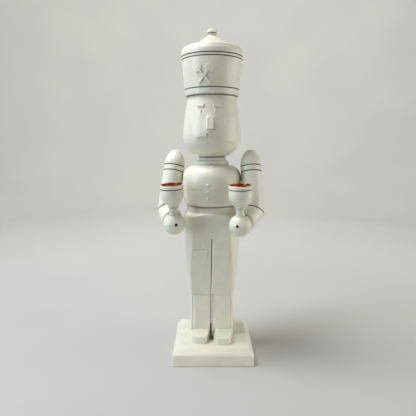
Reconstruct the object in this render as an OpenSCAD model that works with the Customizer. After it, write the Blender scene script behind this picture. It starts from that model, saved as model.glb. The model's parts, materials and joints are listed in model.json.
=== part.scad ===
// Candle-bearing wooden figure in the nutcracker style. Millimetres, +Z up.
// The figure faces -Y and its own left side is at +X. The origin is the centre of the base's underside.

/* [Base] */
// Width and depth of the square base plate
base_w = 100; // [90:1:130]
// Height of the base plate's upright rim
rim_h = 14.6; // [12:0.2:16]
// Whole height of the base plate
base_h = 22.4; // [20:0.2:24]
// How far the base plate's bevel runs in from the rim
bevel_in = 6.2; // [3:0.2:9]

/* [Placing and turning] */
// Sideways offset of the figure's axis from the base's centre
axis_x = -1.5; // [-3:0.5:3]
// Turn of the legs and lower body about the axis, in degrees
body_turn = -2; // [-8:0.5:8]
// Turn of the shoes about the base's centre, in degrees
shoe_turn = -7; // [-10:0.5:10]
// Turn of the torso and arms, in degrees
torso_turn = -8.6; // [-15:0.2:15]
// Turn of the head, in degrees
head_turn = -9; // [-15:0.5:15]
// Turn of the hat, in degrees
hat_turn = -16; // [-20:0.2:20]

/* [Legs and lower body] */
// Radius of the blank that the lower legs are turned from
leg_r = 28; // [26:0.1:28.4]
// Height of the trouser hem above the table
hem_z = 78.6; // [72:0.2:84]
// Distance of the lower legs' planed front from the axis
leg_front = 14; // [12:0.5:16]
// Width of the saw gap between the legs
slit_w = 1.7; // [1.2:0.1:3]
// Height at which the saw gap ends
slit_top = 154; // [130:1:160]
// Sideways lean of the saw gap, in degrees
slit_lean = 1; // [-2:0.1:2]
// Width of a shoe
shoe_w = 21; // [19:0.2:24]
// Length of a shoe in front of the leg
shoe_l = 23; // [18:0.5:26]
// Height of a shoe
shoe_h = 11.2; // [9:0.2:13]

/* [Torso and head] */
// Height of the torso's lower edge
torso_z = 194.4; // [193.6:0.1:196]
// Height of the head's flat underside
head_z = 254.3; // [254.2:0.1:255]
// Height of the hat's lower rim
hat_z = 327.2; // [326:0.1:327.6]

/* [Arms and cups] */
// Radius of the upper arm
arm_r = 12.9; // [12:0.1:13]
// Sideways distance of the shoulder from the axis
shoulder_x = 50.2; // [50:0.1:52]
// Height of the shoulder dowel
shoulder_z = 228; // [225:0.5:231]
// Outward lean of the upper arm, in degrees
arm_out = 5.3; // [3:0.1:8]
// Forward lean of the upper arm, in degrees
arm_forward = 16; // [12:0.5:18]
// Height of the elbow's centre
elbow_z = 187.5; // [184:0.5:190]
// Centre of the left hand from the axis: sideways, forward and height
hand_at = [39.7, 41.5, 175.3];
// Radius of the hand ball
hand_r = 13.4; // [12.5:0.1:14]
// Forward lean of the left and the right cup, in degrees
cup_forward = [4.5, 6]; // [0:0.5:8]
// Outward lean of the left and the right cup, in degrees
cup_outward = [-0.5, 2]; // [-3:0.5:3]
// Outer radius of the candle cup
cup_r = 13.5; // [13.2:0.1:14]
// Radius of the candle hole in the copper insert
candle_r = 11.2; // [10.6:0.1:11.3]

/* [Fits] */
// Radius of the main turning dowels
dowel_r = 6; // [5:0.5:7]
// Radial play of a turning dowel in its bore
play = 0.05; // [0.02:0.01:0.1]
// Gap between faces of parts that turn against each other
seam = 0.4; // [0.3:0.1:0.6]

/* [Hidden] */
$fn = 72;
big = 200;
paint = [0.87, 0.87, 0.81];
bare_wood = [0.72, 0.56, 0.38];
copper = [0.72, 0.40, 0.25];
steel = [0.62, 0.62, 0.64];

// ---- helpers ----
// Points of an arc from angle a to angle b, in n steps
function arc(c, r, a, b, n = 8) = [for (i = [0:n]) let (t = a + (b - a) * i / n)
    [c[0] + r * cos(t), c[1] + r * sin(t)]];
// A point between b and c on a smooth curve through a, b, c and d
function between(a, b, c, d, t) = 0.5 * (2 * b + (c - a) * t + (2 * a - 5 * b + 4 * c - d) * t * t
    + (3 * b - a - 3 * c + d) * t * t * t);
// A smooth curve through the points p, with n steps from one to the next
function smooth(p, n = 4) = let (last = len(p) - 1) concat(
    [for (i = [0:last - 1], j = [0:n - 1])
        between(p[max(i - 1, 0)], p[i], p[i + 1], p[min(i + 2, last)], j / n)],
    [p[last]]);
// A V groove cut around a side of radius r at height z
function groove(r, z, w = 1.2, depth = 0.7) = [[r, z - w / 2], [r - depth, z], [r, z + w / 2]];
function unit(v) = v / norm(v);

module lathe(outline) { rotate_extrude() polygon(outline); }

// Turns +Z to the direction v
module aim(v) { rotate([0, acos(v[2] / norm(v)), atan2(v[1], v[0])]) children(); }

module at_axis(turn) { translate([axis_x, 0, 0]) rotate([0, 0, turn]) children(); }

module rod(r, z0, z1) { translate([0, 0, z0]) cylinder(r = r, h = z1 - z0); }

// Extrudes an outline in the Y-Z plane by w along X, centred
module sideways(w) { translate([-w / 2, 0, 0]) rotate([90, 0, 90]) linear_extrude(w) children(); }

// Makes the left side's shape, or its mirror image for the right side
module on_side(side) { if (side > 0) children(); else mirror([1, 0, 0]) children(); }

// ---- base and feet ----
module bevelled_strip() {
    h = base_w / 2;
    rotate([90, 0, 0]) translate([0, 0, -h]) linear_extrude(base_w)
        polygon([[-h, 0], [h, 0], [h, rim_h], [h - bevel_in, base_h], [bevel_in - h, base_h], [-h, rim_h]]);
}

module base_block() {
    corner_r = 2;
    h = base_w / 2 - corner_r;
    intersection() {
        bevelled_strip();
        rotate([0, 0, 90]) bevelled_strip();
        linear_extrude(base_h) union() {
            square([base_w, 2 * h], center = true);
            square([2 * h, base_w], center = true);
            for (x = [-h, h], y = [-h, h]) translate([x, y]) circle(r = corner_r, $fn = 32);
        }
    }
}

screw_r = 2;
screw_head_r = 4;
screw_top = 56;
screw_x = 13.5;
screw_y = 4;

module at_screws() { for (s = [-1, 1]) translate([axis_x + s * screw_x, screw_y, 0]) children(); }

module base_plate() {
    color(paint) difference() {
        base_block();
        at_screws() {
            rod(screw_r + 0.2, -1, base_h + 1);
            translate([0, 0, -0.01]) cylinder(r1 = screw_head_r + 0.5, r2 = screw_r + 0.2, h = 3);
        }
    }
}

module base_screws() {
    color(steel) at_screws() difference() {
        lathe([[0, 0.6], [screw_head_r, 0.6], [screw_r, 3.2], [screw_r, screw_top - 4],
            [0, screw_top]]);
        translate([-screw_head_r, -0.5, 0.5]) cube([2 * screw_head_r, 1, 1.1]);
    }
}

// The shoe's outline from above: straight sides and a round toe
module shoe_plan() {
    toe_r = 7;
    w = shoe_w / 2;
    polygon(concat([[w, 8]], [for (p = arc([w - toe_r, toe_r - shoe_l], toe_r, 0, -90)) p],
        [for (p = arc([toe_r - w, toe_r - shoe_l], toe_r, -90, -180)) p], [[-w, 8]]));
}

// The shoe's outline from the side: the top slopes down to an upright toe
module shoe_profile() {
    edge_r = 1.4;
    toe_h = shoe_h - 1.6;
    polygon(concat([[8, 0], [8, shoe_h], [0, shoe_h]],
        [for (p = arc([edge_r - shoe_l, toe_h - edge_r], edge_r, 86, 180)) p], [[-shoe_l, 0]]));
}

module shoe(side) {
    shoe_x = 14.7;
    foot_shift = 2.4;
    color(paint) difference() {
        translate([axis_x + foot_shift, 0, base_h]) rotate([0, 0, shoe_turn])
            translate([side * shoe_x, -leg_front, 0]) intersection() {
                linear_extrude(shoe_h + 1) shoe_plan();
                sideways(2 * shoe_w) shoe_profile();
            }
        at_axis(body_turn) translate([-big / 2, -leg_front, 0]) cube([big, big, base_h + 20]);
    }
}

module shoe_left() { shoe(1); }
module shoe_right() { shoe(-1); }

// Puts a shape at the top of the leaning saw gap
module along_slit() { translate([1, 0, slit_top]) rotate([0, slit_lean, 0]) children(); }

dowel_leg_r = 4;
dowel_leg_at = [14, 9];
dowel_leg_z = [64, 94];

// An upright edge at [x, -leg_front] is planed off by e along both faces
module plane_edge(x, e) {
    translate([x, -leg_front, 0]) rotate([0, 0, 45]) cube([e * sqrt(2), e * sqrt(2), 4 * big], center = true);
}

module lower_leg(side) {
    outer_edge = 2.6;
    inner_edge = side > 0 ? 3 : 0.8;
    front_w = sqrt(leg_r * leg_r - leg_front * leg_front);
    color(paint) difference() {
        at_axis(body_turn) difference() {
            rod(leg_r, base_h, hem_z);
            translate([-big / 2, -leg_front - big, 0]) cube([big, big, big]);
            plane_edge(side * front_w, outer_edge);
            along_slit() {
                translate([side > 0 ? slit_w / 2 - big : -slit_w / 2, -big / 2, -slit_top]) cube([big, big, big]);
                plane_edge(side * slit_w / 2, inner_edge);
            }
            translate([side * dowel_leg_at[0], dowel_leg_at[1], 0]) rod(dowel_leg_r, dowel_leg_z[0], hem_z + 1);
        }
        at_screws() rod(screw_r, 0, screw_top);
    }
}

module lower_leg_left() { lower_leg(1); }
module lower_leg_right() { lower_leg(-1); }

module leg_dowels() {
    color(bare_wood) at_axis(body_turn) for (s = [-1, 1])
        translate([s * dowel_leg_at[0], dowel_leg_at[1], 0]) rod(dowel_leg_r, dowel_leg_z[0], dowel_leg_z[1]);
}

// ---- lower body ----
waist_top = torso_z - seam;
waist_dowel_z = [176, 212];
// Distance of the planed front from the axis, against height
front_cut = smooth([[13.2, 76], [18.3, 100], [22.6, 123], [26, 157], [28.4, 172], [31, 180], [35, 183.2],
    [42, 185]], 5);

module lower_body() {
    outline = concat([[0, hem_z]], arc([27.6, hem_z + 1.7], 1.7, -90, 0, 4),
        smooth([[29.9, 85], [32, 103], [33.9, 121], [34.8, 159], [35.8, 174], [36, 180.5], [34.6, 183.6],
            [32.2, 185.6]], 3),
        [[31.2, 187], [31.7, 188.6], [31.4, 190], [31.4, waist_top - 1.2], [30.4, waist_top], [0, waist_top]]);
    color(paint) at_axis(body_turn) difference() {
        lathe(outline);
        // the planed front
        sideways(big) polygon(concat([for (p = front_cut) [-p[0], p[1]]], [[-90, 185], [-90, 70], [-13, 70]]));
        // the saw gap
        along_slit() translate([-slit_w / 2, -big / 2, -big]) cube([slit_w, big, big]);
        rod(dowel_r, waist_dowel_z[0], waist_top + 1);
        for (s = [-1, 1]) translate([s * dowel_leg_at[0], dowel_leg_at[1], 0])
            rod(dowel_leg_r, hem_z - 1, dowel_leg_z[1]);
    }
}

module knee_pad(side) {
    w = 17;
    r = 7.5;
    h = 19.5;
    thick = 0.9;
    pad_x = 13.8;
    pad_z = 131;
    color(paint) at_axis(body_turn) intersection() {
        translate([side * pad_x, 0, pad_z]) rotate([90, 0, 0]) linear_extrude(leg_r) union() {
            translate([-w / 2, r - h / 2]) square([w, h - r]);
            translate([r - w / 2, -h / 2]) square([w - 2 * r, h]);
            for (x = [r - w / 2, w / 2 - r]) translate([x, r - h / 2]) circle(r = r, $fn = 48);
        }
        sideways(2 * leg_r) polygon(concat([for (p = front_cut) [-p[0], p[1]]],
            [for (i = [len(front_cut) - 1:-1:0]) [-front_cut[i][0] - thick, front_cut[i][1]]]));
    }
}

module knee_pad_left() { knee_pad(1); }
module knee_pad_right() { knee_pad(-1); }

module waist_dowel() { color(bare_wood) at_axis(0) rod(dowel_r, waist_dowel_z[0], waist_dowel_z[1]); }

// ---- torso ----
torso_outline = smooth([[33.6, torso_z + 1.6], [34.7, 199], [36.2, 212], [36.9, 223], [36.6, 230.5], [34.9, 235.6],
    [32, 239.4], [27.5, 242.6], [20, 244.6]]);
collar_z = 244.8;
neck_top = head_z - seam;
neck_dowel_z = [240, 270];
neck_dowel_r = 5;
shoulder_dowel_r = 4;
shoulder_dowel_in = 24;
shoulder_bore_x = shoulder_x + 6;

module shoulder_rod(r, x0, x1) {
    translate([x0, 0, shoulder_z]) rotate([0, 90, 0]) cylinder(r = r, h = x1 - x0);
}

module torso() {
    color(paint) at_axis(torso_turn) difference() {
        lathe(concat([[0, torso_z], [32.4, torso_z]], torso_outline,
            smooth([[19.8, collar_z], [21, collar_z + 1.2], [21, collar_z + 3.6], [19.4, collar_z + 4.9]], 3),
            smooth([[16.6, collar_z + 5.1], [17.4, collar_z + 6.2], [17.2, neck_top - 1], [16.2, neck_top]], 3),
            [[0, neck_top]]));
        rod(dowel_r + play, torso_z - 1, waist_dowel_z[1] + 1);
        rod(neck_dowel_r, neck_dowel_z[0], neck_top + 1);
        for (s = [1, -1]) on_side(s) shoulder_rod(shoulder_dowel_r, shoulder_dowel_in, shoulder_x);
    }
}

// A flat-backed dome of radius r and height h, along +Z from the origin
module stud(r, h, back = 2) {
    translate([0, 0, -back]) lathe(concat([[0, 0], [r, 0]],
        [for (i = [0:6]) [r * cos(i * 15), back + h * sin(i * 15)]]));
}

module coat_buttons() {
    $fn = 240;
    button_r = 1.8;
    button_z = [204.6, 213, 221.4];
    button_d = [35.3, 36.2, 36.8];
    color(paint) at_axis(torso_turn) for (i = [0:2]) difference() {
        translate([0, -button_d[i] + 0.1, button_z[i]]) rotate([90, 0, 0]) stud(button_r, 1.1, 1);
        lathe(concat([[0, torso_z]], torso_outline, [[0, 244]]));
    }
}

module shoulder_dowel(side) {
    color(bare_wood) at_axis(torso_turn) on_side(side)
        shoulder_rod(shoulder_dowel_r, shoulder_dowel_in, shoulder_bore_x - 1);
}

module shoulder_dowel_left() { shoulder_dowel(1); }
module shoulder_dowel_right() { shoulder_dowel(-1); }

module neck_dowel() { color(bare_wood) at_axis(0) rod(neck_dowel_r, neck_dowel_z[0], neck_dowel_z[1]); }

// ---- head ----
head_top = hat_z - seam;
head_outline = smooth([[16.4, head_z], [22, 257], [29.2, 262.4], [34, 269.8], [35.9, 278], [35.7, 286.4], [34.2, 300],
    [32.1, 314], [30, head_top]], 5);
hat_dowel_z = [312, 344];

module head_solid() { lathe(concat([[0, head_z]], head_outline, [[0, head_top]])); }

module head() {
    color(paint) at_axis(head_turn) difference() {
        head_solid();
        rod(neck_dowel_r + play, head_z - 1, neck_dowel_z[1] + 1);
        rod(dowel_r, hat_dowel_z[0], head_top + 1);
    }
}

// Puts a piece on the head's front, a degrees to the left of the middle, at height z
module on_face(a, z, r) { rotate([0, 0, a]) translate([0, -r, z]) children(); }

module eyebrows() {
    $fn = 240;
    brow_z = 314;
    brow_w = 8.6;
    out = 3.2;
    color(paint) at_axis(head_turn) difference() {
        for (s = [-1, 1]) rotate([0, 0, 1.5 + s * 17.8]) translate([0, -30, brow_z]) {
            translate([-brow_w / 2, -out, -0.9]) cube([brow_w, 3, 1.8]);
            translate([s * (0.8 - brow_w / 2), -out, -0.4]) rotate([0, s * -8, 0])
                translate([-0.8, 0, 0]) cube([1.6, 3, 3]);
        }
        head_solid();
    }
}

module eyes() {
    $fn = 240;
    eye_z = 308.1;
    eye_r = 1.4;
    color(paint) at_axis(head_turn) difference() {
        for (s = [-1, 1]) on_face(s * 15, eye_z, 33.1) rotate([90, 0, 0]) union() {
            for (up = [-0.7, 0.7]) translate([0, up, 0]) stud(eye_r, 1);
        }
        head_solid();
    }
}

module nose() {
    nose_h = 14.4;
    nose_z = 287.1;
    nose_at = 3.8;
    nose_skew = -9.7;
    tip_out = 8;
    half_w = 4.4;
    color(paint) at_axis(head_turn) difference() {
        on_face(nose_at, nose_z, 35.2) rotate([0, 0, nose_skew]) intersection() {
            linear_extrude(nose_h) polygon([[-half_w, 2.4], [half_w, 2.4], [half_w, 0.2], [0.7, -tip_out],
                [-0.7, -tip_out], [-half_w, 0.2]]);
            sideways(2 * half_w + 2) polygon([[3, 0], [-tip_out - 1, 0], [-tip_out - 1, nose_h - 3],
                [-tip_out + 1.4, nose_h], [3, nose_h]]);
        }
        head_solid();
    }
}

module moustache() {
    lip_z = 281;
    thick = 1.3;
    half = concat([[-0.2, 6]], smooth([[1.7, 5.9], [4.4, 5.3], [7.9, 3.9], [11, 1.8], [14.6, -0.9], [16, -2.6],
        [15.2, -3.9], [12, -3.7], [8, -3], [4.4, -2.6], [2.6, -2.8]], 3), [[0.6, 1.6], [-0.2, 1.6]]);
    color(paint) at_axis(head_turn + 1) difference() {
        for (s = [-1, 1]) intersection() {
            rotate([0, 0, s * 12.5]) translate([0, -24, lip_z]) rotate([90, 0, 0])
                linear_extrude(16) translate([-s * 8, 0]) mirror([s < 0 ? 1 : 0, 0]) polygon(half);
            lathe(concat([[0, head_z]], [for (p = head_outline) [p[0] + thick, p[1]]], [[0, head_top]]));
        }
        head_solid();
    }
}

module hat_dowel() { color(bare_wood) at_axis(0) rod(dowel_r, hat_dowel_z[0], hat_dowel_z[1]); }

// ---- hat ----
hat_low = [33.2, 331];
hat_high = [37.5, 373];
hat_groove_z = [335.2, 369.8, 373.2];
function hat_r(z) = hat_low[0] + (hat_high[0] - hat_low[0]) * (z - hat_low[1]) / (hat_high[1] - hat_low[1]);
crown_z = 399;
finial_r = 6.5;
finial_top = 407.2;
peg_r = 2.5;

module hat_solid() {
    lathe(concat([[0, hat_z], [31.6, hat_z], [32.6, hat_z + 0.8]],
        [for (z = hat_groove_z, p = groove(hat_r(z), z)) p],
        smooth([[37.7, 375.6], [37.5, 378.6], [36.8, 380.6], [36.1, 381.7], [35.9, 382.6], [35.1, 383.8],
            [33, 385], [28, 386.7], [21, 388.4]], 3),
        smooth([[19.4, 389.2], [17.4, 390.7], [13, 393.7], [8, 397.4], [5, crown_z]], 3), [[0, crown_z]]));
}

module hat() {
    color(paint) at_axis(hat_turn) difference() {
        hat_solid();
        rod(dowel_r + play, hat_z - 1, hat_dowel_z[1] + 1);
        rod(peg_r, crown_z - 12, crown_z + 1);
    }
}

// One hammer, head up, with the point where it crosses the other at the origin
module hammer_plan() {
    handle_low = -10.9;
    handle_top = 12.9;
    polygon([[-1.3, handle_low], [1.3, handle_low], [1, handle_top], [-1, handle_top]]);
    translate([0, handle_top - 2.4]) polygon([[-4.4, -2.5], [4, -2.5], [4.6, 0], [4, 2.5], [-3.6, 2.5],
        [-4.7, 0.4]]);
}

module hat_emblem() {
    emblem_z = 347.4;
    thick = 1.5;
    lean = atan((hat_high[0] - hat_low[0]) / (hat_high[1] - hat_low[1]));
    color(paint) at_axis(hat_turn) difference() {
        intersection() {
            translate([0, -20, emblem_z]) rotate([90, 0, 0]) linear_extrude(30)
                for (s = [-1, 1]) rotate(s * 40) hammer_plan();
            lathe([[0, hat_low[1]], [hat_low[0] + thick, hat_low[1]], [hat_high[0] + thick, hat_high[1]],
                [0, hat_high[1]]]);
        }
        hat_solid();
    }
}

module hat_finial() {
    neck_r = 4.4;
    cap_z = finial_top - 4.8;
    color(paint) at_axis(hat_turn) lathe(concat(
        [[0, crown_z - 12], [peg_r, crown_z - 12], [peg_r, crown_z], [neck_r + 0.8, crown_z]],
        [[neck_r, crown_z + 0.8], [neck_r - 0.2, cap_z - 0.3]],
        smooth([[finial_r - 1, cap_z], [finial_r, cap_z + 1.6], [finial_r - 0.8, cap_z + 3.2],
            [3.4, finial_top - 0.4], [0, finial_top]], 4)));
}

// ---- arms: the left side's, mirrored for the right ----
arm_up = unit([-tan(arm_out), tan(arm_forward), 1]);
elbow = [shoulder_x + (shoulder_z - elbow_z) * tan(arm_out), -(shoulder_z + 12 - elbow_z) * tan(arm_forward),
    elbow_z];
hand_c = [hand_at[0], -hand_at[1], hand_at[2]];
forearm_v = unit(hand_c - elbow);
forearm_l = norm(hand_c - elbow);
mitre = unit(forearm_v - arm_up);
arm_top_z = 263.3;
arm_l = (arm_top_z - elbow_z) / arm_up[2];
wrist_in = 8.6;
arm_dowel_r = 3;
arm_dowel_l = 9;
// The hand's top is cut flat under the cup
cup_base_z = hand_at[2] + hand_r - 2.3;
cup_peg_r = 2.5;

// Leans the left side's cup about the centre of the hand, by the lean that this side has
module lean_cup(side) {
    i = side > 0 ? 0 : 1;
    translate(hand_c) rotate([cup_forward[i], cup_outward[i], 0]) translate([0, 0, -hand_c[2]]) children();
}

// The half of space beyond the plane through p that faces along v
module beyond(p, v) {
    translate(p) aim(v) translate([-big / 2, -big / 2, 0]) cube([big, big, big]);
}

module upper_arm(side) {
    color(paint) at_axis(torso_turn) on_side(side) difference() {
        translate(elbow) aim(arm_up) lathe(concat(
            arc([0, 0], arm_r, -90, 0, 8),
            groove(arm_r, arm_l - 29), groove(arm_r, arm_l - 22),
            smooth([[arm_r, arm_l - 18.5], [12, arm_l - 13.5], [9.7, arm_l - 8], [6, arm_l - 2.8], [0, arm_l]])));
        beyond(elbow, mitre);
        shoulder_rod(shoulder_dowel_r + play, shoulder_x - arm_r - 2, shoulder_bore_x);
        translate(elbow) aim(-mitre) rod(arm_dowel_r, -1, arm_dowel_l);
    }
}

module upper_arm_left() { upper_arm(1); }
module upper_arm_right() { upper_arm(-1); }

module elbow_dowel(side) {
    color(bare_wood) at_axis(torso_turn) on_side(side)
        translate(elbow) aim(mitre) rod(arm_dowel_r, -arm_dowel_l, arm_dowel_l);
}

module elbow_dowel_left() { elbow_dowel(1); }
module elbow_dowel_right() { elbow_dowel(-1); }

wrist_l = forearm_l - wrist_in;

module forearm(side) {
    wrist_r = sqrt(hand_r * hand_r - wrist_in * wrist_in);
    color(paint) at_axis(torso_turn) on_side(side) difference() {
        translate(elbow) aim(forearm_v) lathe(concat(
            arc([0, 0], arm_r, -90, 0, 8),
            smooth([[arm_r, wrist_l - 6], [arm_r - 0.2, wrist_l - 2], [arm_r - 1, wrist_l - 0.6], [wrist_r, wrist_l]],
                3), [[0, wrist_l]]));
        beyond(elbow, -mitre);
        translate(elbow) aim(mitre) rod(arm_dowel_r, -1, arm_dowel_l);
        translate(elbow) aim(forearm_v) rod(arm_dowel_r, wrist_l - 7, wrist_l + 1);
    }
}

module forearm_left() { forearm(1); }
module forearm_right() { forearm(-1); }

module wrist_dowel(side) {
    color(bare_wood) at_axis(torso_turn) on_side(side)
        translate(elbow) aim(forearm_v) rod(arm_dowel_r, wrist_l - 7, wrist_l + 6);
}

module wrist_dowel_left() { wrist_dowel(1); }
module wrist_dowel_right() { wrist_dowel(-1); }

// The small hole in the hand turns inward by a different angle on each side
hole_turn = [11, 23];
hole_r = 1.75;
hole_depth = 6;

module hand(side) {
    inward = side > 0 ? hole_turn[0] : hole_turn[1];
    color(paint) at_axis(torso_turn) on_side(side) difference() {
        translate(hand_c) sphere(r = hand_r);
        translate(elbow) aim(-forearm_v) translate([-big / 2, -big / 2, -wrist_l]) cube([big, big, big]);
        translate(elbow) aim(forearm_v) rod(arm_dowel_r, wrist_l - 1, wrist_l + 6);
        translate(hand_c) aim([-sin(inward), -cos(inward), 0.04]) rod(hole_r, hand_r - hole_depth, hand_r + 2);
        lean_cup(side) {
            rod(cup_peg_r, cup_base_z - 7, cup_base_z + 2);
            rod(hand_r, cup_base_z, cup_base_z + hand_r);
        }
    }
}

module hand_left() { hand(1); }
module hand_right() { hand(-1); }

// ---- cups ----
cup_rim_z = 222.7;
insert_wall = 0.7;
insert_depth = 11;
insert_r = candle_r + insert_wall;
flange_t = 0.6;

module at_cup(side) { at_axis(torso_turn) on_side(side) lean_cup(side) children(); }

module candle_cup(side) {
    color(paint) at_cup(side) difference() {
        lathe(concat([[0, cup_base_z - 7], [cup_peg_r, cup_base_z - 7], [cup_peg_r, cup_base_z],
            [5.5, cup_base_z], [5.8, cup_base_z + 0.5], [5.5, cup_base_z + 1.1]],
            smooth([[4.8, 188.6], [4.6, 191.6], [5.1, 194.8]], 3),
            smooth([[5.8, 195.3], [6.2, 196], [5.8, 196.8]], 3),
            smooth([[6.1, 197.1], [7.8, 198.9], [10.5, 202.4], [12.5, 206.1], [13.3, 209.8], [cup_r, 213.5]], 4),
            groove(cup_r, 218.2, 1.1, 0.6),
            smooth([[cup_r - 0.1, 219.3], [cup_r - 0.3, 219.9], [cup_r, 220.8], [cup_r - 0.1, 221.8],
                [cup_r - 0.6, cup_rim_z]], 3), [[0, cup_rim_z]]));
        rod(insert_r + 0.1, cup_rim_z - insert_depth + 0.3, cup_rim_z + 1);
    }
}

module candle_cup_left() { candle_cup(1); }
module candle_cup_right() { candle_cup(-1); }

module cup_insert(side) {
    flange_r = cup_r - 0.6;
    top = cup_rim_z + 0.1 + flange_t;
    floor_z = top - insert_depth;
    color(copper) at_cup(side) difference() {
        lathe([[0, floor_z], [insert_r, floor_z], [insert_r, cup_rim_z + 0.1], [flange_r, cup_rim_z + 0.1],
            [flange_r, top], [0, top]]);
        rod(candle_r, floor_z + insert_wall, top + 1);
    }
}

module cup_insert_left() { cup_insert(1); }
module cup_insert_right() { cup_insert(-1); }

base_plate();
base_screws();
shoe_left();
shoe_right();
lower_leg_left();
lower_leg_right();
leg_dowels();
lower_body();
knee_pad_left();
knee_pad_right();
waist_dowel();
torso();
coat_buttons();
shoulder_dowel_left();
shoulder_dowel_right();
neck_dowel();
head();
eyebrows();
eyes();
nose();
moustache();
hat_dowel();
hat();
hat_emblem();
hat_finial();
upper_arm_left();
upper_arm_right();
elbow_dowel_left();
elbow_dowel_right();
forearm_left();
forearm_right();
wrist_dowel_left();
wrist_dowel_right();
hand_left();
hand_right();
candle_cup_left();
candle_cup_right();
cup_insert_left();
cup_insert_right();
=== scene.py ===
import json
import math
from math import cos, pi, radians, sin, sqrt

import bmesh
import bpy
import numpy as np
from mathutils import Matrix, Vector


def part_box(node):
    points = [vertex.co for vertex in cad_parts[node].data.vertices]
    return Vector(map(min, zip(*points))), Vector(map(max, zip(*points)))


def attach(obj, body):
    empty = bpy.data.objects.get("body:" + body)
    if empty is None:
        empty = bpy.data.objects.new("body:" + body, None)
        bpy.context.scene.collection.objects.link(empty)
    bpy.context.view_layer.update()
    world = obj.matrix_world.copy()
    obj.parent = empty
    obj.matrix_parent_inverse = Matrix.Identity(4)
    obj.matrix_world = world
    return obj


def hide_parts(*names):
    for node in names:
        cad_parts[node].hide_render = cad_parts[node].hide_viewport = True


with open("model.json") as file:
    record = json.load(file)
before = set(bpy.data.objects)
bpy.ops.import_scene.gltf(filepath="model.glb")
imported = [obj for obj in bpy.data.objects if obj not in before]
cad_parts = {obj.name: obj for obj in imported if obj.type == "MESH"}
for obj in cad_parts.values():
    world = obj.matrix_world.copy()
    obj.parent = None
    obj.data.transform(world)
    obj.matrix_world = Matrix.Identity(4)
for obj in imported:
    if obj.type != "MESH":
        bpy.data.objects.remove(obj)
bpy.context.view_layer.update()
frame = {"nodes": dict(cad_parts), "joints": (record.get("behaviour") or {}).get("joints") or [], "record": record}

# Sizes in this script are millimetres; MM turns them into the frame's metres.
MM = 0.001
# Sides of a turned piece, and how far its corners are eased.
STEPS = 144
EASE = 0.4
# The waist and hat dowels, the neck dowel, the small pegs, and the gap a dowel turns in.
DOWEL_R = 6
NECK_DOWEL_R = 5
PEG_R = 2.5
FINIAL_PEG = 12
TURN_GAP = 0.05

BODIES = frame["record"]["behaviour"]["bodies"]
BODY = {node: body for body, members in BODIES.items() for node in members}


# ---- placing ----
def low(node):
    """The lowest height of a CAD node, in millimetres."""
    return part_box(node)[0].z / MM


def high(node):
    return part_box(node)[1].z / MM


def centre(node):
    a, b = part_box(node)
    return (a + b) / 2 / MM


def long_axis(node):
    """The direction of a straight rod."""
    points = np.array([v.co for v in frame["nodes"][node].data.vertices], float)
    points -= points.mean(0)
    return Vector(np.linalg.svd(points, full_matrices=False)[2][0])


def place(origin, direction=(0, 0, 1)):
    """Turns a piece made around +Z, in millimetres, into the frame's metres."""
    turn = Vector(direction).to_track_quat("Z", "Y").to_matrix().to_4x4()
    return Matrix.Scale(MM, 4) @ Matrix.Translation(origin) @ turn


AXIS = centre("neck_dowel")


def on_axis(height, turn=0):
    spot = Matrix.Translation((AXIS.x, AXIS.y, height))
    return Matrix.Scale(MM, 4) @ spot @ Matrix.Rotation(radians(turn), 4, "Z")


# ---- outlines, as points (radius, height) ----
def arc(c, r, a, b, n=8):
    steps = [radians(a + (b - a) * i / n) for i in range(n + 1)]
    return [(c[0] + r * cos(t), c[1] + r * sin(t)) for t in steps]


def flow(points, n=4):
    """A smooth curve through the points, with n steps from one to the next."""
    p = [Vector(q) for q in points]
    last = len(p) - 1
    out = []
    for i in range(last):
        a, b, c, d = p[max(i - 1, 0)], p[i], p[i + 1], p[min(i + 2, last)]
        for t in (k / n for k in range(n)):
            out.append(0.5 * (2 * b + (c - a) * t + (2 * a - 5 * b + 4 * c - d) * t ** 2
                              + (3 * b - a - 3 * c + d) * t ** 3))
    return [tuple(q) for q in out] + [tuple(p[last])]


def groove(r, z, w=1.2, depth=0.7):
    return [(r, z - w / 2), (r - depth, z), (r, z + w / 2)]


def bezier(a, b, c, n=4):
    return [a * (1 - t) ** 2 + b * 2 * t * (1 - t) + c * t ** 2 for t in (k / n for k in range(n + 1))]


def eased(points, radius=EASE, sharp=24):
    """Rounds the corners of an outline a little, as paint does."""
    p = [Vector(q) for q in points]
    out = [p[0]]
    for a, b, c in zip(p, p[1:], p[2:]):
        u, v = b - a, c - b
        if min(u.length, v.length) < 1e-5:
            continue
        if math.degrees(u.angle(v)) < sharp:
            out.append(b)
            continue
        cut = min(radius, 0.4 * u.length, 0.4 * v.length)
        out += bezier(b - u.normalized() * cut, b, b + v.normalized() * cut)
    return out + [p[-1]]


def bored(outline, lower=None, upper=None):
    """Closes an outline on the axis, with a bore of (radius, depth) in either end."""
    z0, z1 = outline[0][1], outline[-1][1]
    start, end = [(0, z0)], [(0, z1)]
    if lower is not None:
        start = [(0, z0 + lower[1]), (lower[0], z0 + lower[1]), (lower[0], z0)]
    if upper is not None:
        end = [(upper[0], z1), (upper[0], z1 - upper[1]), (0, z1 - upper[1])]
    return start + outline + end


# ---- mesh code ----
def ring_faces(bm, rings, closed=True):
    """Joins each ring of points to the next with faces; a ring may be a single point."""
    for one, two in zip(rings, rings[1:]):
        n = max(len(one), len(two))
        for i in range(n if closed else n - 1):
            j = (i + 1) % n
            corners = [one[i % len(one)], one[j % len(one)], two[j % len(two)], two[i % len(two)]]
            bm.faces.new(list(dict.fromkeys(corners)))


def turned(outline, steps=STEPS):
    """A piece turned on a lathe."""
    bm = bmesh.new()
    rings = []
    for r, z in outline:
        angles = [2 * pi * k / steps for k in range(steps)] if r > 1e-4 else [0]
        rings.append([bm.verts.new((r * cos(a), r * sin(a), z)) for a in angles])
    ring_faces(bm, rings)
    return bm


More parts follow.
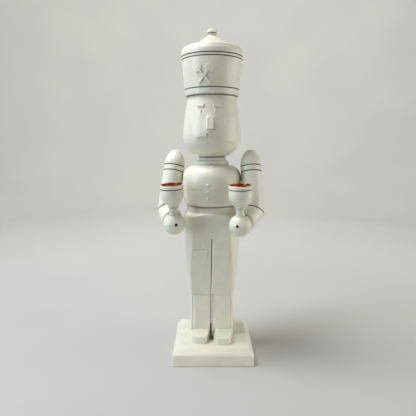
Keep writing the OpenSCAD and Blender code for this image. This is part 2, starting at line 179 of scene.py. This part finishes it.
def mark_cuts(bm, bands):
    """Faces between the heights of a band get the second material."""
    for f in bm.faces:
        z = f.calc_center_median().z
        if any(a < z < b for a, b in bands):
            f.material_index = 1


def groove_bands(heights, w=1.2):
    return [(z - w / 2, z + w / 2) for z in heights]


def saw(bm, point, normal, ease):
    """Cuts off what lies beyond a plane and draws in the cut's rim, which gets the second material."""
    point, normal = Vector(point), Vector(normal)

    def bisect(spot, clear):
        geom = bm.verts[:] + bm.edges[:] + bm.faces[:]
        return bmesh.ops.bisect_plane(bm, geom=geom, dist=1e-4, plane_co=spot, plane_no=normal,
                                      clear_outer=clear)["geom_cut"]

    bisect(point - normal * ease, False)
    edges = [e for e in bisect(point, True) if isinstance(e, bmesh.types.BMEdge)]
    rim = {v for e in edges for v in e.verts}
    middle = sum((v.co for v in rim), Vector()) / len(rim)
    for v in rim:
        v.co += (middle - v.co).normalized() * ease
    bmesh.ops.contextual_create(bm, geom=edges)
    # The rim gets the second material: a dark line with painted shade in the seam.
    for f in bm.faces:
        if (f.calc_center_median() - point).dot(normal) > -ease:
            f.material_index = 1


def new_object(name, bm, matrix):
    bmesh.ops.recalc_face_normals(bm, faces=bm.faces[:])
    bm.transform(matrix)
    mesh = bpy.data.meshes.new(name)
    bm.to_mesh(mesh)
    bm.free()
    obj = bpy.data.objects.new(name, mesh)
    bpy.context.scene.collection.objects.link(obj)
    return obj


def applied(obj):
    """Puts the result of an object's modifiers into its mesh."""
    depsgraph = bpy.context.evaluated_depsgraph_get()
    mesh = bpy.data.meshes.new_from_object(obj.evaluated_get(depsgraph))
    obj.modifiers.clear()
    obj.data = mesh
    return obj


def softened(name, node, voxel, passes):
    """A copy of a CAD node with its edges rounded, as under thick paint."""
    bm = bmesh.new()
    bm.from_mesh(frame["nodes"][node].data)
    bmesh.ops.remove_doubles(bm, verts=bm.verts[:], dist=1e-6)
    obj = new_object(name, bm, Matrix.Scale(1 / MM, 4))
    remesh = obj.modifiers.new("remesh", "REMESH")
    remesh.mode = "VOXEL"
    remesh.voxel_size = voxel
    smooth = obj.modifiers.new("smooth", "SMOOTH")
    smooth.factor = 0.5
    smooth.iterations = passes
    applied(obj)
    obj.data.transform(Matrix.Scale(MM, 4))
    obj.data.materials.clear()
    return obj


def carved(obj, cutter):
    """Takes another object's shape out of this one."""
    boolean = obj.modifiers.new("cut", "BOOLEAN")
    boolean.operation = "DIFFERENCE"
    boolean.solver = "EXACT"
    boolean.object = cutter
    applied(obj)
    bpy.data.objects.remove(cutter)
    return obj


def keep(obj, node, slot, *materials):
    """Finishes a piece that stands for a CAD node."""
    for m in materials:
        obj.data.materials.append(m)
    obj.data.shade_smooth()
    obj.data.set_sharp_from_angle(angle=radians(38))
    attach(obj, BODY[node])
    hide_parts(node)
    return obj


# ---- materials ----
class Nodes:
    """A material and short ways to add nodes to it."""

    def __init__(self, name, metallic=0.0):
        self.material = bpy.data.materials.new(name)
        self.material.use_nodes = True
        self.tree = self.material.node_tree
        self.shader = self.tree.nodes["Principled BSDF"]
        self.shader.inputs["Metallic"].default_value = metallic
        self.place = self.tree.nodes.new("ShaderNodeTexCoord").outputs["Object"]

    def link(self, value, socket):
        if isinstance(value, bpy.types.NodeSocket):
            self.tree.links.new(value, socket)
        else:
            socket.default_value = value

    def stretched(self, scale):
        node = self.tree.nodes.new("ShaderNodeMapping")
        node.inputs["Scale"].default_value = scale
        self.link(self.place, node.inputs["Vector"])
        return node.outputs["Vector"]

    def noise(self, scale, detail=3.0, roughness=0.55, vector=None):
        node = self.tree.nodes.new("ShaderNodeTexNoise")
        node.inputs["Scale"].default_value = scale
        node.inputs["Detail"].default_value = detail
        node.inputs["Roughness"].default_value = roughness
        self.link(self.place if vector is None else vector, node.inputs["Vector"])
        return node.outputs["Fac"]

    def fit(self, value, a, b, to_a=0.0, to_b=1.0, smooth=False):
        node = self.tree.nodes.new("ShaderNodeMapRange")
        node.interpolation_type = "SMOOTHSTEP" if smooth else "LINEAR"
        self.link(value, node.inputs["Value"])
        for key, v in (("From Min", a), ("From Max", b), ("To Min", to_a), ("To Max", to_b)):
            node.inputs[key].default_value = v
        return node.outputs["Result"]

    def math(self, operation, a, b=0.0):
        node = self.tree.nodes.new("ShaderNodeMath")
        node.operation = operation
        self.link(a, node.inputs[0])
        self.link(b, node.inputs[1])
        return node.outputs[0]

    def mix(self, factor, a, b):
        node = self.tree.nodes.new("ShaderNodeMix")
        node.data_type = "RGBA"
        # The colour sockets of a Mix node come after its number and vector sockets.
        self.link(factor, node.inputs[0])
        self.link(a, node.inputs[6])
        self.link(b, node.inputs[7])
        return node.outputs[2]

    def vector(self, operation, a, b=(0, 0, 0)):
        node = self.tree.nodes.new("ShaderNodeVectorMath")
        node.operation = operation
        self.link(a, node.inputs[0])
        self.link(b, node.inputs[1])
        return node.outputs["Value" if operation == "LENGTH" else "Vector"]

    def spot(self, middle, reach):
        """1 in the middle of an egg-shaped spot, in millimetres, and 0 outside it."""
        away = self.vector("SUBTRACT", self.place, [v * MM for v in middle])
        away = self.vector("DIVIDE", away, [v * MM for v in reach])
        return self.fit(self.vector("LENGTH", away), 0.35, 1, 1, 0, smooth=True)

    def height(self):
        node = self.tree.nodes.new("ShaderNodeSeparateXYZ")
        self.link(self.place, node.inputs["Vector"])
        return node.outputs["Z"]

    def bump(self, value, strength, distance, under=None):
        node = self.tree.nodes.new("ShaderNodeBump")
        node.inputs["Strength"].default_value = strength
        node.inputs["Distance"].default_value = distance
        self.link(value, node.inputs["Height"])
        if under is not None:
            self.link(under, node.inputs["Normal"])
        return node.outputs["Normal"]

    def finish(self, colour, roughness, normal):
        self.link(colour, self.shader.inputs["Base Color"])
        self.link(roughness, self.shader.inputs["Roughness"])
        self.link(normal, self.shader.inputs["Normal"])
        return self.material


def rgb(r, g, b):
    """A colour given as screen values from 0 to 255."""
    return tuple(((c / 255 + 0.055) / 1.055) ** 2.4 if c > 10 else c / 3295 for c in (r, g, b)) + (1.0,)


PAINT = rgb(228, 225, 209)
PAINT_COOL = rgb(221, 219, 204)
PAINT_WORN = rgb(200, 190, 160)
PAINT_THIN = rgb(205, 200, 178)
# Dark joint lines with painted shade along the seams between the turned parts.
SEAM_JOINT_AND_SHADE = rgb(104, 92, 72)
# The colour of the painted shadow in the gap between the shoes.
GAP_SHADOW = rgb(74, 62, 42)


def seam_joint_and_shade_mask(n, seams):
    """Dark joint line and painted shade: 1 on a seam, given by its height, fading to 0 about a millimetre from it.
    """
    z = n.height()
    gap = None
    for seam in seams:
        one = n.math("ABSOLUTE", n.math("SUBTRACT", z, seam * MM))
        gap = one if gap is None else n.math("MINIMUM", gap, one)
    wander = n.math("ADD", gap, n.fit(n.noise(260, 3), 0.3, 0.7, -0.2 * MM, 0.2 * MM))
    return n.fit(wander, 0.2 * MM, 1.4 * MM, 0.7, 0.0, smooth=True)


def painted(name, grain, seams=(), streak=0.5, relief=1.0, dents=1.0, painted_shadow_spot=None):
    """Satin off-white paint over wood; grain stretches the brush and wood marks along the piece."""
    n = Nodes(name)
    streaks = n.noise(480, 5, 0.6, n.stretched(grain))
    fine = n.noise(1700, 3, 0.5, n.stretched(grain))
    cloud = n.noise(38, 4, 0.6)
    colour = n.mix(n.fit(cloud, 0.38, 0.64, smooth=True), PAINT, PAINT_COOL)
    colour = n.mix(n.fit(streaks, 0.48, 0.3, 0.0, 0.26, smooth=True), colour, PAINT_THIN)
    patches = n.fit(n.noise(70, 3), 0.44, 0.62)
    worn = n.math("MULTIPLY", n.fit(streaks, 0.54, 0.70, smooth=True), patches)
    colour = n.mix(n.math("MULTIPLY", worn, streak), colour, PAINT_WORN)
    specks = n.fit(n.noise(1300, 2), 0.72, 0.78, 0.0, 0.45)
    colour = n.mix(specks, colour, PAINT_WORN)
    # Dark joint lines with painted shade at the seams between parts.
    if seams:
        colour = n.mix(seam_joint_and_shade_mask(n, seams), colour, SEAM_JOINT_AND_SHADE)
    # Painted shadow: darker in a spot between the shoes and in front of the heels.
    if painted_shadow_spot is not None:
        shade = n.math("MULTIPLY", n.spot(*painted_shadow_spot), n.fit(n.noise(300, 3), 0.3, 0.6, 0.6, 1.0))
        colour = n.mix(shade, colour, GAP_SHADOW)
    normal = n.bump(streaks, 0.6, 0.6 * MM * relief)
    normal = n.bump(fine, 0.5, 0.14 * MM * relief, normal)
    normal = n.bump(n.noise(120, 2), 0.5, 0.5 * MM * dents, normal)
    return n.finish(colour, n.fit(cloud, 0.3, 0.7, 0.29, 0.42), normal)


def cut_line(name, dark, light):
    """The dark wood that shows where the paint is cut through; made very dark, it also serves as painted shade in
    seams and holes.
    """
    n = Nodes(name)
    grain = n.noise(1500, 4, 0.6, n.stretched((1, 1, 0.2)))
    colour = n.mix(n.fit(grain, 0.35, 0.65), dark, light)
    return n.finish(colour, n.fit(grain, 0.3, 0.7, 0.6, 0.8), n.bump(grain, 0.4, 0.1 * MM))


def beech(name):
    """Bare turned beech, for the dowels."""
    n = Nodes(name)
    grain = n.noise(700, 5, 0.6, n.stretched((1, 1, 0.06)))
    fleck = n.noise(2400, 2, 0.5, n.stretched((1, 1, 0.3)))
    colour = n.mix(n.fit(grain, 0.35, 0.65), rgb(205, 170, 125), rgb(170, 128, 84))
    colour = n.mix(n.fit(fleck, 0.6, 0.7, 0.0, 0.5), colour, rgb(128, 88, 54))
    return n.finish(colour, n.fit(grain, 0.3, 0.7, 0.5, 0.65), n.bump(grain, 0.3, 0.1 * MM))


def copper(name):
    """Bright spun copper, a little tarnished."""
    n = Nodes(name, metallic=1.0)
    tarnish = n.noise(160, 5, 0.65)
    rings = n.noise(3000, 2, 0.5, n.stretched((0.15, 0.15, 1)))
    colour = n.mix(n.fit(tarnish, 0.36, 0.62, smooth=True), rgb(218, 164, 116), rgb(172, 112, 70))
    colour = n.mix(n.fit(n.noise(520, 3), 0.62, 0.72, 0.0, 0.6), colour, rgb(112, 66, 40))
    normal = n.bump(rings, 0.25, 0.05 * MM)
    return n.finish(colour, n.fit(tarnish, 0.35, 0.7, 0.14, 0.36), normal)


def zinc(name):
    """Zinc-plated steel, for the screws under the base."""
    n = Nodes(name, metallic=1.0)
    cloud = n.noise(600, 4)
    colour = n.mix(n.fit(cloud, 0.35, 0.65), rgb(190, 190, 186), rgb(158, 160, 160))
    normal = n.bump(n.noise(1800, 2), 0.2, 0.04 * MM)
    return n.finish(colour, n.fit(cloud, 0.3, 0.7, 0.28, 0.45), normal)


# How the grain is stretched along a piece.
UPRIGHT = (1, 1, 0.05)
AROUND = (0.12, 0.12, 1)
CROSSWISE = (0.06, 1, 1)
LENGTHWISE = (1, 0.12, 1)

TORSO_Z = low("torso")
HEAD_Z = low("head")
HAT_Z = low("hat")
HEM_Z = low("lower_body")
BASE_TOP = high("base_plate")

cut_paint = cut_line("paint_cut_line", rgb(66, 54, 43), rgb(98, 83, 67))
sawn_wood = cut_line("sawn_wood", rgb(92, 68, 44), rgb(126, 98, 68))
# Nearly black: dark joint lines with painted shade in the elbow seams, at the wrists and in the hands' holes.
joint_line_and_shade = cut_line("joint_line_and_shade", rgb(52, 41, 29), rgb(82, 68, 50))
# A painted shadow on the base and the shoes, in the gap between the shoes and in front of the heels.
GAP_X = (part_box("shoe_right")[1].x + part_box("shoe_left")[0].x) / 2 / MM
HEEL_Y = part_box("lower_leg_left")[0].y / MM

paint_base = painted("paint_base", CROSSWISE, streak=0.6, relief=1.3,
                     painted_shadow_spot=((GAP_X, HEEL_Y - 3, BASE_TOP), (4.5, 11, 6)))
paint_shoe = painted("paint_shoe", LENGTHWISE, streak=0.6, relief=1.0, dents=2.0,
                     painted_shadow_spot=((GAP_X, HEEL_Y + 1, BASE_TOP), (3.2, 9, 7)))
paint_legs = painted("paint_legs", UPRIGHT, streak=0.4, relief=0.8)
paint_body = painted("paint_body", UPRIGHT, (TORSO_Z,), 0.5)
paint_torso = painted("paint_torso", AROUND, (TORSO_Z, HEAD_Z))
paint_head = painted("paint_head", AROUND, (HEAD_Z, HAT_Z))
paint_hat = painted("paint_hat", AROUND, (HAT_Z,))
paint_arm = painted("paint_arm", UPRIGHT, streak=0.5)
paint_cup = painted("paint_cup", AROUND, streak=0.45)
paint_small = painted("paint_small", UPRIGHT, streak=0.3)
beech_wood = beech("beech")
copper_metal = copper("copper")
zinc_steel = zinc("zinc_steel")


# ---- base and legs ----
def rounded_square(half, r, n=8):
    """A square's outline with round corners."""
    return [(sx * (half - r) + r * cos(t), sy * (half - r) + r * sin(t))
            for k, (sx, sy) in enumerate(((1, 1), (-1, 1), (-1, -1), (1, -1)))
            for t in (pi / 2 * (k + i / n) for i in range(n + 1))]


BASE_RIM = 14.6
BASE_BEVEL = 6.2
BASE_CORNER = 2
SCREW_HEAD_R = 4
SCREW_R = 2.2


def base_skin(half):
    """A square block with eased edges and a wide bevel round its top."""
    side = eased([(0.7, 0), (0, 0.7), (0, BASE_RIM - 4), (0, BASE_RIM),
                  (BASE_BEVEL, BASE_TOP), (BASE_BEVEL + 8, BASE_TOP)], 1.5, 10)
    bm = bmesh.new()
    rings = []
    for inset, z in side:
        r = max(BASE_CORNER - 0.25 * inset, 0.5)
        rings.append([bm.verts.new((x, y, z)) for x, y in rounded_square(half - inset, r)])
    ring_faces(bm, rings)
    bm.faces.new(rings[0])
    bm.faces.new(rings[-1])
    return bm


def screw_hole(x, y):
    """The countersunk hole for one base screw, as a cutter."""
    outline = [(0, -1), (SCREW_HEAD_R + 0.6, -1), (SCREW_HEAD_R + 0.5, 0), (SCREW_R, 3),
               (SCREW_R, BASE_TOP + 1), (0, BASE_TOP + 1)]
    return new_object("screw_hole", turned(outline, 48), place((x, y, 0)))


def base_plate():
    a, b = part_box("base_plate")
    obj = new_object("base_plate_painted", base_skin((b.x - a.x) / 2 / MM), Matrix.Scale(MM, 4))
    a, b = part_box("base_screws")
    for x in (a.x / MM + SCREW_HEAD_R, b.x / MM - SCREW_HEAD_R):
        carved(obj, screw_hole(x, centre("base_screws").y))
    return keep(obj, "base_plate", "painted_wood", paint_base)


def shoe(side):
    obj = softened("shoe_" + side + "_painted", "shoe_" + side, 0.35, 5)
    return keep(obj, "shoe_" + side, "painted_wood", paint_shoe)


def lower_leg(side):
    node = "lower_leg_" + side
    return keep(softened(node + "_painted", node, 0.45, 5), node, "painted_wood", paint_legs)


# ---- lower body: horizontal sections of a turned body with a planed front and a saw gap ----
# Heights here are from the hem. The saw gap is SLIT_X off the axis at its top and leans a little.
BODY_TURN = -2
SLIT_HALF = 0.85
SLIT_RISE = 75.4
SLIT_X = 1
SLIT_LEAN = 1
HEM_EASE = 0.5
WAIST_BORE = 18


def half_section(side, z, radius, front):
    """One half's outline, from the saw gap at the front, round the side, to the gap at the back."""
    lean = radians(SLIT_LEAN)
    x0 = side * (SLIT_X + (z - SLIT_RISE) * sin(lean)) + SLIT_HALF
    # The gap's edges are eased, less and less towards its top.
    edge = 0.5 * min(max((SLIT_RISE - z) / 2, 0), 1)
    back = sqrt(radius ** 2 - x0 ** 2)
    # Where the planed front meets the round side.
    corner = max(sqrt(max(radius ** 2 - front ** 2, 0)), x0 + 1.5)
    front_y = -min(front, back)
    corner_y = -min(front, sqrt(radius ** 2 - corner ** 2))
    ease = min(0.8, 0.3 * (corner - x0))
    start, turn = Vector((x0 + edge, front_y)), Vector((corner, corner_y))
    before = turn + (start - turn).normalized() * ease
    first, last = math.atan2(corner_y, corner) + ease / radius, math.atan2(back, x0 + edge)
    after = Vector((radius * cos(first), radius * sin(first)))
    points = bezier(Vector((x0, front_y + edge)), Vector((x0, front_y)), start, 3)
    points += [start.lerp(before, k / 8) for k in range(1, 8)]
    points += bezier(before, turn, after, 4)
    points += [Vector((radius * cos(a), radius * sin(a)))
               for a in (first + (last - first) * k / 64 for k in range(1, 64))]
    end = Vector((radius * cos(last), radius * sin(last)))
    points += bezier(end, Vector((x0, back)), Vector((x0, end.y - edge)), 3)
    return [(side * p.x, p.y, z) for p in points]


def body_outlines(top):
    """By height: how far the turned sides and the planed front are from the axis."""
    sides = arc((27.6, 1.7), 1.7, -90, 0, 6)
    sides += flow([(29.9, 6.4), (32, 24.4), (33.9, 42.4), (34.8, 80.4), (35.8, 95.4), (36, 101.9),
                   (34.6, 105), (32.2, 107)])
    sides += [(31.2, 108.4), (31.7, 110), (31.4, 111.4), (31.4, top - 1.2), (30.4, top)]
    planed = flow([(13.2, -2.6), (18.3, 21.4), (22.6, 44.4), (25.6, 78.4), (27.8, 93.4), (30.2, 103.4),
                   (34, 106.8), (42, 108)], 6)
    return np.array(sides), np.array(planed)


def body_heights(top):
    """Where the sections are: close together at the hem, the top of the gap and the waist."""
    hem = {0, 0.15, 0.4, 0.8, 1.3, 1.7}
    gap = {3 + 2 * k for k in range(36)} | {SLIT_RISE - 1, SLIT_RISE}
    waist = {77 + 1.5 * k for k in range(14)} | {98 + 0.5 * k for k in range(int((top - 98) * 2))}
    return sorted(hem | gap | waist | {top})


def close_gap(bm, left, right, gap_top):
    """Walls and roof of the saw gap, and the plain skin that joins the halves above it."""
    dark = []
    for k in range(len(left) - 1):
        (l0, l1), (r0, r1) = left[k:k + 2], right[k:k + 2]
        if k < gap_top:
            dark += [bm.faces.new((l0[0], l1[0], l1[-1], l0[-1])),
                     bm.faces.new((r0[0], r0[-1], r1[-1], r1[0]))]
        else:
            bm.faces.new((l0[0], r0[0], r1[0], l1[0]))
            bm.faces.new((l0[-1], l1[-1], r1[-1], r0[-1]))
    l, r = left[gap_top], right[gap_top]
    dark.append(bm.faces.new((l[0], l[-1], r[-1], r[0])))
    for f in dark:
        f.material_index = 1


def close_top(bm, rim, top):
    """The top face, with the bore for the waist dowel."""
    bore = [[bm.verts.new((*(v.co.xy * DOWEL_R / v.co.xy.length), z)) for v in rim]
            for z in (top, top - WAIST_BORE)]
    ring_faces(bm, [rim] + bore)
    bm.faces.new(bore[1])


def lower_body():
    top = high("lower_body") - HEM_Z
    sides, planed = body_outlines(top)
    heights = body_heights(top)
    bm = bmesh.new()
    halves = {1: [], -1: []}
    for z in heights:
        radius = np.interp(z, sides[:, 1], sides[:, 0])
        front = np.interp(z, planed[:, 1], planed[:, 0]) - HEM_EASE * max(1 - z / 0.8, 0) ** 2
        for s, rings in halves.items():
            rings.append([bm.verts.new(p) for p in half_section(s, z, radius, front)])
    for rings in halves.values():
        ring_faces(bm, rings, closed=False)
        bm.faces.new(rings[0])
    close_gap(bm, halves[1], halves[-1], heights.index(SLIT_RISE))
    close_top(bm, halves[1][-1] + halves[-1][-1][::-1], top)
    bmesh.ops.remove_doubles(bm, verts=bm.verts[:], dist=0.002)
    obj = new_object("lower_body_painted", bm, on_axis(HEM_Z, BODY_TURN))
    return keep(obj, "lower_body", "painted_wood", paint_body, sawn_wood)


# ---- torso, head and hat ----
def torso():
    sides = [(32.4, 0)]
    sides += flow([(33.6, 1.6), (34.7, 4.6), (36.2, 17.6), (36.9, 28.6), (36.6, 36.1), (34.9, 41.2),
                   (32, 45), (27.5, 48.2), (20, 50.2)])
    collar = flow([(19.8, 50.4), (21, 51.6), (21, 54), (19.4, 55.3)], 5)
    neck = flow([(16.6, 55.5), (17.4, 56.6), (17.2, 58.5), (16.2, 59.5)], 5)
    bm = turned(eased(bored(sides + collar + neck, (DOWEL_R + TURN_GAP, 18.6), (NECK_DOWEL_R, 19))))
    obj = new_object("torso_painted", bm, on_axis(TORSO_Z))
    return keep(obj, "torso", "painted_wood", paint_torso)


def head():
    sides = flow([(16.4, 0), (22, 2.7), (29.2, 8.1), (34, 15.5), (35.9, 23.7), (35.7, 32.1), (34.2, 45.7),
                  (32.1, 59.7), (30, high("head") - HEAD_Z)], 6)
    bm = turned(eased(bored(sides, (NECK_DOWEL_R + TURN_GAP, 16.7), (DOWEL_R, 14.8))))
    obj = new_object("head_painted", bm, on_axis(HEAD_Z))
    return keep(obj, "head", "painted_wood", paint_head)


HAT_GROOVES = (8, 42.6, 46)


def hat():
    def wall(z):
        return 33.2 + 4.3 * (z - 3.8) / 42

    outline = [(31.6, 0), (32.6, 0.8)]
    for z in HAT_GROOVES:
        outline += groove(wall(z), z)
    outline += flow([(37.7, 48.4), (37.5, 51.4), (36.8, 53.4), (36.1, 54.5), (35.9, 55.4), (35.1, 56.6),
                     (33, 57.8), (28, 59.5), (21, 61.2)])
    outline += flow([(19.4, 62), (17.4, 63.5), (13, 66.5), (8, 70.2), (5, 71.8)])
    bm = turned(eased(bored(outline, (DOWEL_R + TURN_GAP, 17.8), (PEG_R, FINIAL_PEG)), 0.3))
    mark_cuts(bm, groove_bands(HAT_GROOVES))
    obj = new_object("hat_painted", bm, on_axis(HAT_Z))
    return keep(obj, "hat", "painted_wood", paint_hat, cut_paint)


def hat_finial():
    outline = [(0, -FINIAL_PEG), (PEG_R, -FINIAL_PEG), (PEG_R, 0), (5.2, 0), (4.4, 0.8), (4.2, 3.1)]
    outline += flow([(5.5, 3.4), (6.5, 5), (5.7, 6.6), (3.4, 7.8), (0, 8.2)], 6)
    bm = turned(eased(outline, 0.3), 96)
    mark_cuts(bm, [(2.9, 3.45)])
    obj = new_object("hat_finial_painted", bm, on_axis(low("hat_finial") + FINIAL_PEG))
    return keep(obj, "hat_finial", "painted_wood", paint_hat, cut_paint)


# ---- arms and cups ----
ARM_R = 12.9
ARM_TOP_Z = 263.3
ARM_GROOVES = (29, 22)
HAND_R = 13.4
WRIST_IN = 8.6
MITRE_EASE = 0.7


class Arm:
    """Where an arm's parts are, worked out from its dowels."""

    def __init__(self, side):
        self.side = side
        self.elbow = centre("elbow_dowel_" + side)
        self.mitre = long_axis("elbow_dowel_" + side)
        wrist = centre("wrist_dowel_" + side)
        self.forward = (wrist - self.elbow).normalized()
        if self.mitre.dot(self.forward) < 0:
            self.mitre.negate()
        self.up = self.forward - 2 * self.forward.dot(self.mitre) * self.mitre
        self.wrist_l = (wrist - self.elbow).length + 0.5
        self.hand = self.elbow + self.forward * (self.wrist_l + WRIST_IN)
        self.lift = next(Vector(j["axis"]) for j in frame["joints"] if j["name"] == "insert_lift_" + side)


def local(matrix, direction):
    """A direction in the space of a piece that the matrix places."""
    return (matrix.to_3x3().normalized().inverted() @ Vector(direction)).normalized()


def upper_arm(arm):
    node = "upper_arm_" + arm.side
    length = (ARM_TOP_Z - arm.elbow.z) / arm.up.z
    outline = arc((0, 0), ARM_R, -90, 0, 16)
    for down in ARM_GROOVES:
        outline += groove(ARM_R, length - down)
    outline += flow([(ARM_R, length - 18.5), (12, length - 13.5), (9.7, length - 8), (6, length - 2.8),
                     (0, length)], 6)
    bm = turned(eased(outline, 0.3))
    mark_cuts(bm, groove_bands([length - down for down in ARM_GROOVES]))
    matrix = place(arm.elbow, arm.up)
    saw(bm, (0, 0, 0), local(matrix, arm.mitre), MITRE_EASE)
    obj = new_object(node + "_painted", bm, matrix)
    return keep(obj, node, "painted_wood", paint_arm, joint_line_and_shade)


def forearm(arm):
    node = "forearm_" + arm.side
    wl = arm.wrist_l
    wrist_r = sqrt(HAND_R ** 2 - WRIST_IN ** 2)
    outline = arc((0, 0), ARM_R, -90, 0, 16)
    outline += flow([(ARM_R, wl - 6), (ARM_R - 0.2, wl - 2), (ARM_R - 1, wl - 0.6), (wrist_r, wl)])
    outline += [(0, wl)]
    bm = turned(outline)
    # A dark line with painted shade where the cuff meets the ball.
    mark_cuts(bm, [(wl - 0.05, wl + 1)])
    matrix = place(arm.elbow, arm.forward)
    saw(bm, (0, 0, 0), local(matrix, -arm.mitre), MITRE_EASE)
    obj = new_object(node + "_painted", bm, matrix)
    return keep(obj, node, "painted_wood", paint_arm, joint_line_and_shade)


def hand(arm):
    """A ball with a small hole bored into its front, darkened with painted shade."""
    node = "hand_" + arm.side
    obj = softened(node + "_painted", node, 0.35, 3)
    keep(obj, node, "painted_wood", paint_small, joint_line_and_shade)
    # Faces at the front that lie well inside the ball's surface are the hole's; they get painted shade.
    for f in obj.data.polygons:
        spot = f.center / MM - arm.hand
        if spot.length < HAND_R - 0.8 and spot.y < -HAND_R / 3 and spot.z < HAND_R / 2:
            f.material_index = 1
    return obj


CUP_BASE = HAND_R - 2.3
CUP_RIM = 47.4
CUP_R = 13.5
CUP_PEG = 7
CUP_GROOVE = 42.9
# Thin dark lines where the cup's foot, ring and bowl meet.
CUP_LINES = [(12.2, 12.5), (19.5, 20.05), (21.5, 21.8)]
CANDLE_R = 11.2
INSERT_WALL = 0.7
INSERT_R = CANDLE_R + INSERT_WALL
INSERT_DEPTH = 11


def candle_cup(arm):
    """The cup's outline, in heights above the hand's centre."""
    node = "candle_cup_" + arm.side
    peg = [(0, CUP_BASE - CUP_PEG), (PEG_R, CUP_BASE - CUP_PEG), (PEG_R, CUP_BASE)]
    foot = [(5.5, CUP_BASE), (5.8, CUP_BASE + 0.5), (5.5, CUP_BASE + 1.1)]
    stem = flow([(4.8, 13.3), (4.6, 16.3), (5.1, 19.5)]) + flow([(5.8, 20), (6.2, 20.7), (5.8, 21.5)])
    bowl = flow([(6.1, 21.8), (7.8, 23.6), (10.5, 27.1), (12.5, 30.8), (13.3, 34.5), (CUP_R, 38.2)])
    bowl += groove(CUP_R, CUP_GROOVE, 1.1, 0.6)
    rim = flow([(CUP_R - 0.1, 44), (CUP_R - 0.3, 44.6), (CUP_R, 45.5), (CUP_R - 0.1, 46.5),
                (CUP_R - 0.6, CUP_RIM)])
    seat = [(INSERT_R + 0.1, CUP_RIM), (INSERT_R + 0.1, CUP_RIM - 10.7), (0, CUP_RIM - 10.7)]
    outline = peg + foot + stem + bowl + rim + seat
    bm = turned(eased(outline, 0.25), 128)
    mark_cuts(bm, groove_bands([CUP_GROOVE], 1.1) + CUP_LINES)
    obj = new_object(node + "_painted", bm, place(arm.hand, arm.lift))
    return keep(obj, node, "painted_wood", paint_cup, cut_paint)


def cup_insert(arm):
    node = "cup_insert_" + arm.side
    under, top = CUP_RIM + 0.1, CUP_RIM + 0.7
    floor = top - INSERT_DEPTH
    outline = [(0, floor), (INSERT_R, floor), (INSERT_R, under), (CUP_R - 0.6, under), (CUP_R - 0.6, top),
               (CANDLE_R, top), (CANDLE_R, floor + INSERT_WALL), (0, floor + INSERT_WALL)]
    bm = turned(eased(outline, 0.28), 128)
    obj = new_object(node + "_copper", bm, place(arm.hand, arm.lift))
    return keep(obj, node, "copper", copper_metal)


def relief(node, paint, voxel=0.14, passes=2):
    """A small painted piece stuck on the figure."""
    return keep(softened(node + "_painted", node, voxel, passes), node, "painted_wood", paint)


def paint_cad_nodes():
    """The CAD's own rods and screws stay and get their finish."""
    for node, obj in frame["nodes"].items():
        if obj.hide_render:
            continue
        obj.data.materials.clear()
        obj.data.materials.append(zinc_steel if node == "base_screws" else beech_wood)


# ---- camera, light and stage ----
CAMERA_SPOT = (-6.5, -531.7, 263.1)
CAMERA_DOWN = 7.9
CAMERA_LENS = 36.346


def camera():
    data = bpy.data.cameras.new("camera")
    data.sensor_width = 36
    data.lens = CAMERA_LENS
    data.clip_start = 0.01
    obj = bpy.data.objects.new("camera", data)
    obj.location = Vector(CAMERA_SPOT) * MM
    obj.rotation_euler = (radians(90 - CAMERA_DOWN), 0, 0)
    bpy.context.scene.collection.objects.link(obj)
    bpy.context.scene.camera = obj


def lamp(name, spot, target, size, watts, colour, spread=180):
    """A soft box at a spot, turned to a target; both are in metres, like the studio."""
    data = bpy.data.lights.new(name, "AREA")
    data.shape = "RECTANGLE"
    data.size, data.size_y = size
    data.energy = watts
    data.spread = radians(spread)
    data.color = colour
    obj = bpy.data.objects.new(name, data)
    obj.location = spot
    obj.rotation_euler = (Vector(target) - Vector(spot)).to_track_quat("-Z", "Y").to_euler()
    bpy.context.scene.collection.objects.link(obj)


def lights():
    """Cool from the left, warm from the right, bright from above left, and a little low in front."""
    lamp("key", (-1.0, -0.42, 0.38), (0, 0, 0.12), (0.4, 0.8), 5.6, (0.70, 0.86, 1.0))
    lamp("fill", (1.0, -0.12, 0.24), (0, 0, 0.12), (0.9, 0.9), 7.0, (1.0, 0.98, 0.94))
    lamp("top", (-0.42, -0.1, 1.15), (0, 0, 0.2), (0.5, 0.5), 12.2, (0.97, 0.99, 1.0))
    lamp("low", (0.25, -1.1, 0.22), (0, 0, 0.02), (0.3, 0.12), 0.026, (1.0, 0.92, 0.76), 18)
    lamp("wall", (0, 0.6, 1.3), (0, 2.0, 0.6), (1.6, 0.6), 22, (1.0, 1.0, 1.0))
    world = bpy.data.worlds.new("studio")
    world.use_nodes = True
    world.node_tree.nodes["Background"].inputs["Color"].default_value = (0.93, 0.92, 0.88, 1)
    world.node_tree.nodes["Background"].inputs["Strength"].default_value = 0.14
    bpy.context.scene.world = world
    bpy.context.scene.view_settings.view_transform = "Standard"


def studio():
    """A pale round floor that sweeps up into a pale wall."""
    sweep = [(1.2 + 0.8 * sin(t), 0.8 - 0.8 * cos(t)) for t in (pi / 2 * k / 16 for k in range(17))]
    bm = turned([(0, 0)] + sweep + [(2.0, 2.6)])
    obj = new_object("studio_sweep", bm, Matrix.Identity(4))
    obj.data.shade_smooth()
    n = Nodes("studio_paper")
    tone = n.noise(3, 2)
    colour = n.mix(n.fit(tone, 0.3, 0.7), rgb(188, 188, 182), rgb(183, 183, 178))
    tooth = n.bump(n.noise(500, 2), 0.1, 0.2 * MM)
    obj.data.materials.append(n.finish(colour, n.fit(tone, 0.3, 0.7, 0.8, 0.9), tooth))


camera()
lights()
studio()
base_plate()
lower_body()
for side in ("left", "right"):
    shoe(side)
    lower_leg(side)
    relief("knee_pad_" + side, paint_body, 0.2, 2)
torso()
head()
hat()
hat_finial()
for node in ("eyebrows", "eyes", "nose", "moustache"):
    relief(node, paint_head)
relief("coat_buttons", paint_torso, 0.12, 1)
relief("hat_emblem", paint_hat)
for arm in (Arm("left"), Arm("right")):
    upper_arm(arm)
    forearm(arm)
    hand(arm)
    candle_cup(arm)
    cup_insert(arm)
paint_cad_nodes()
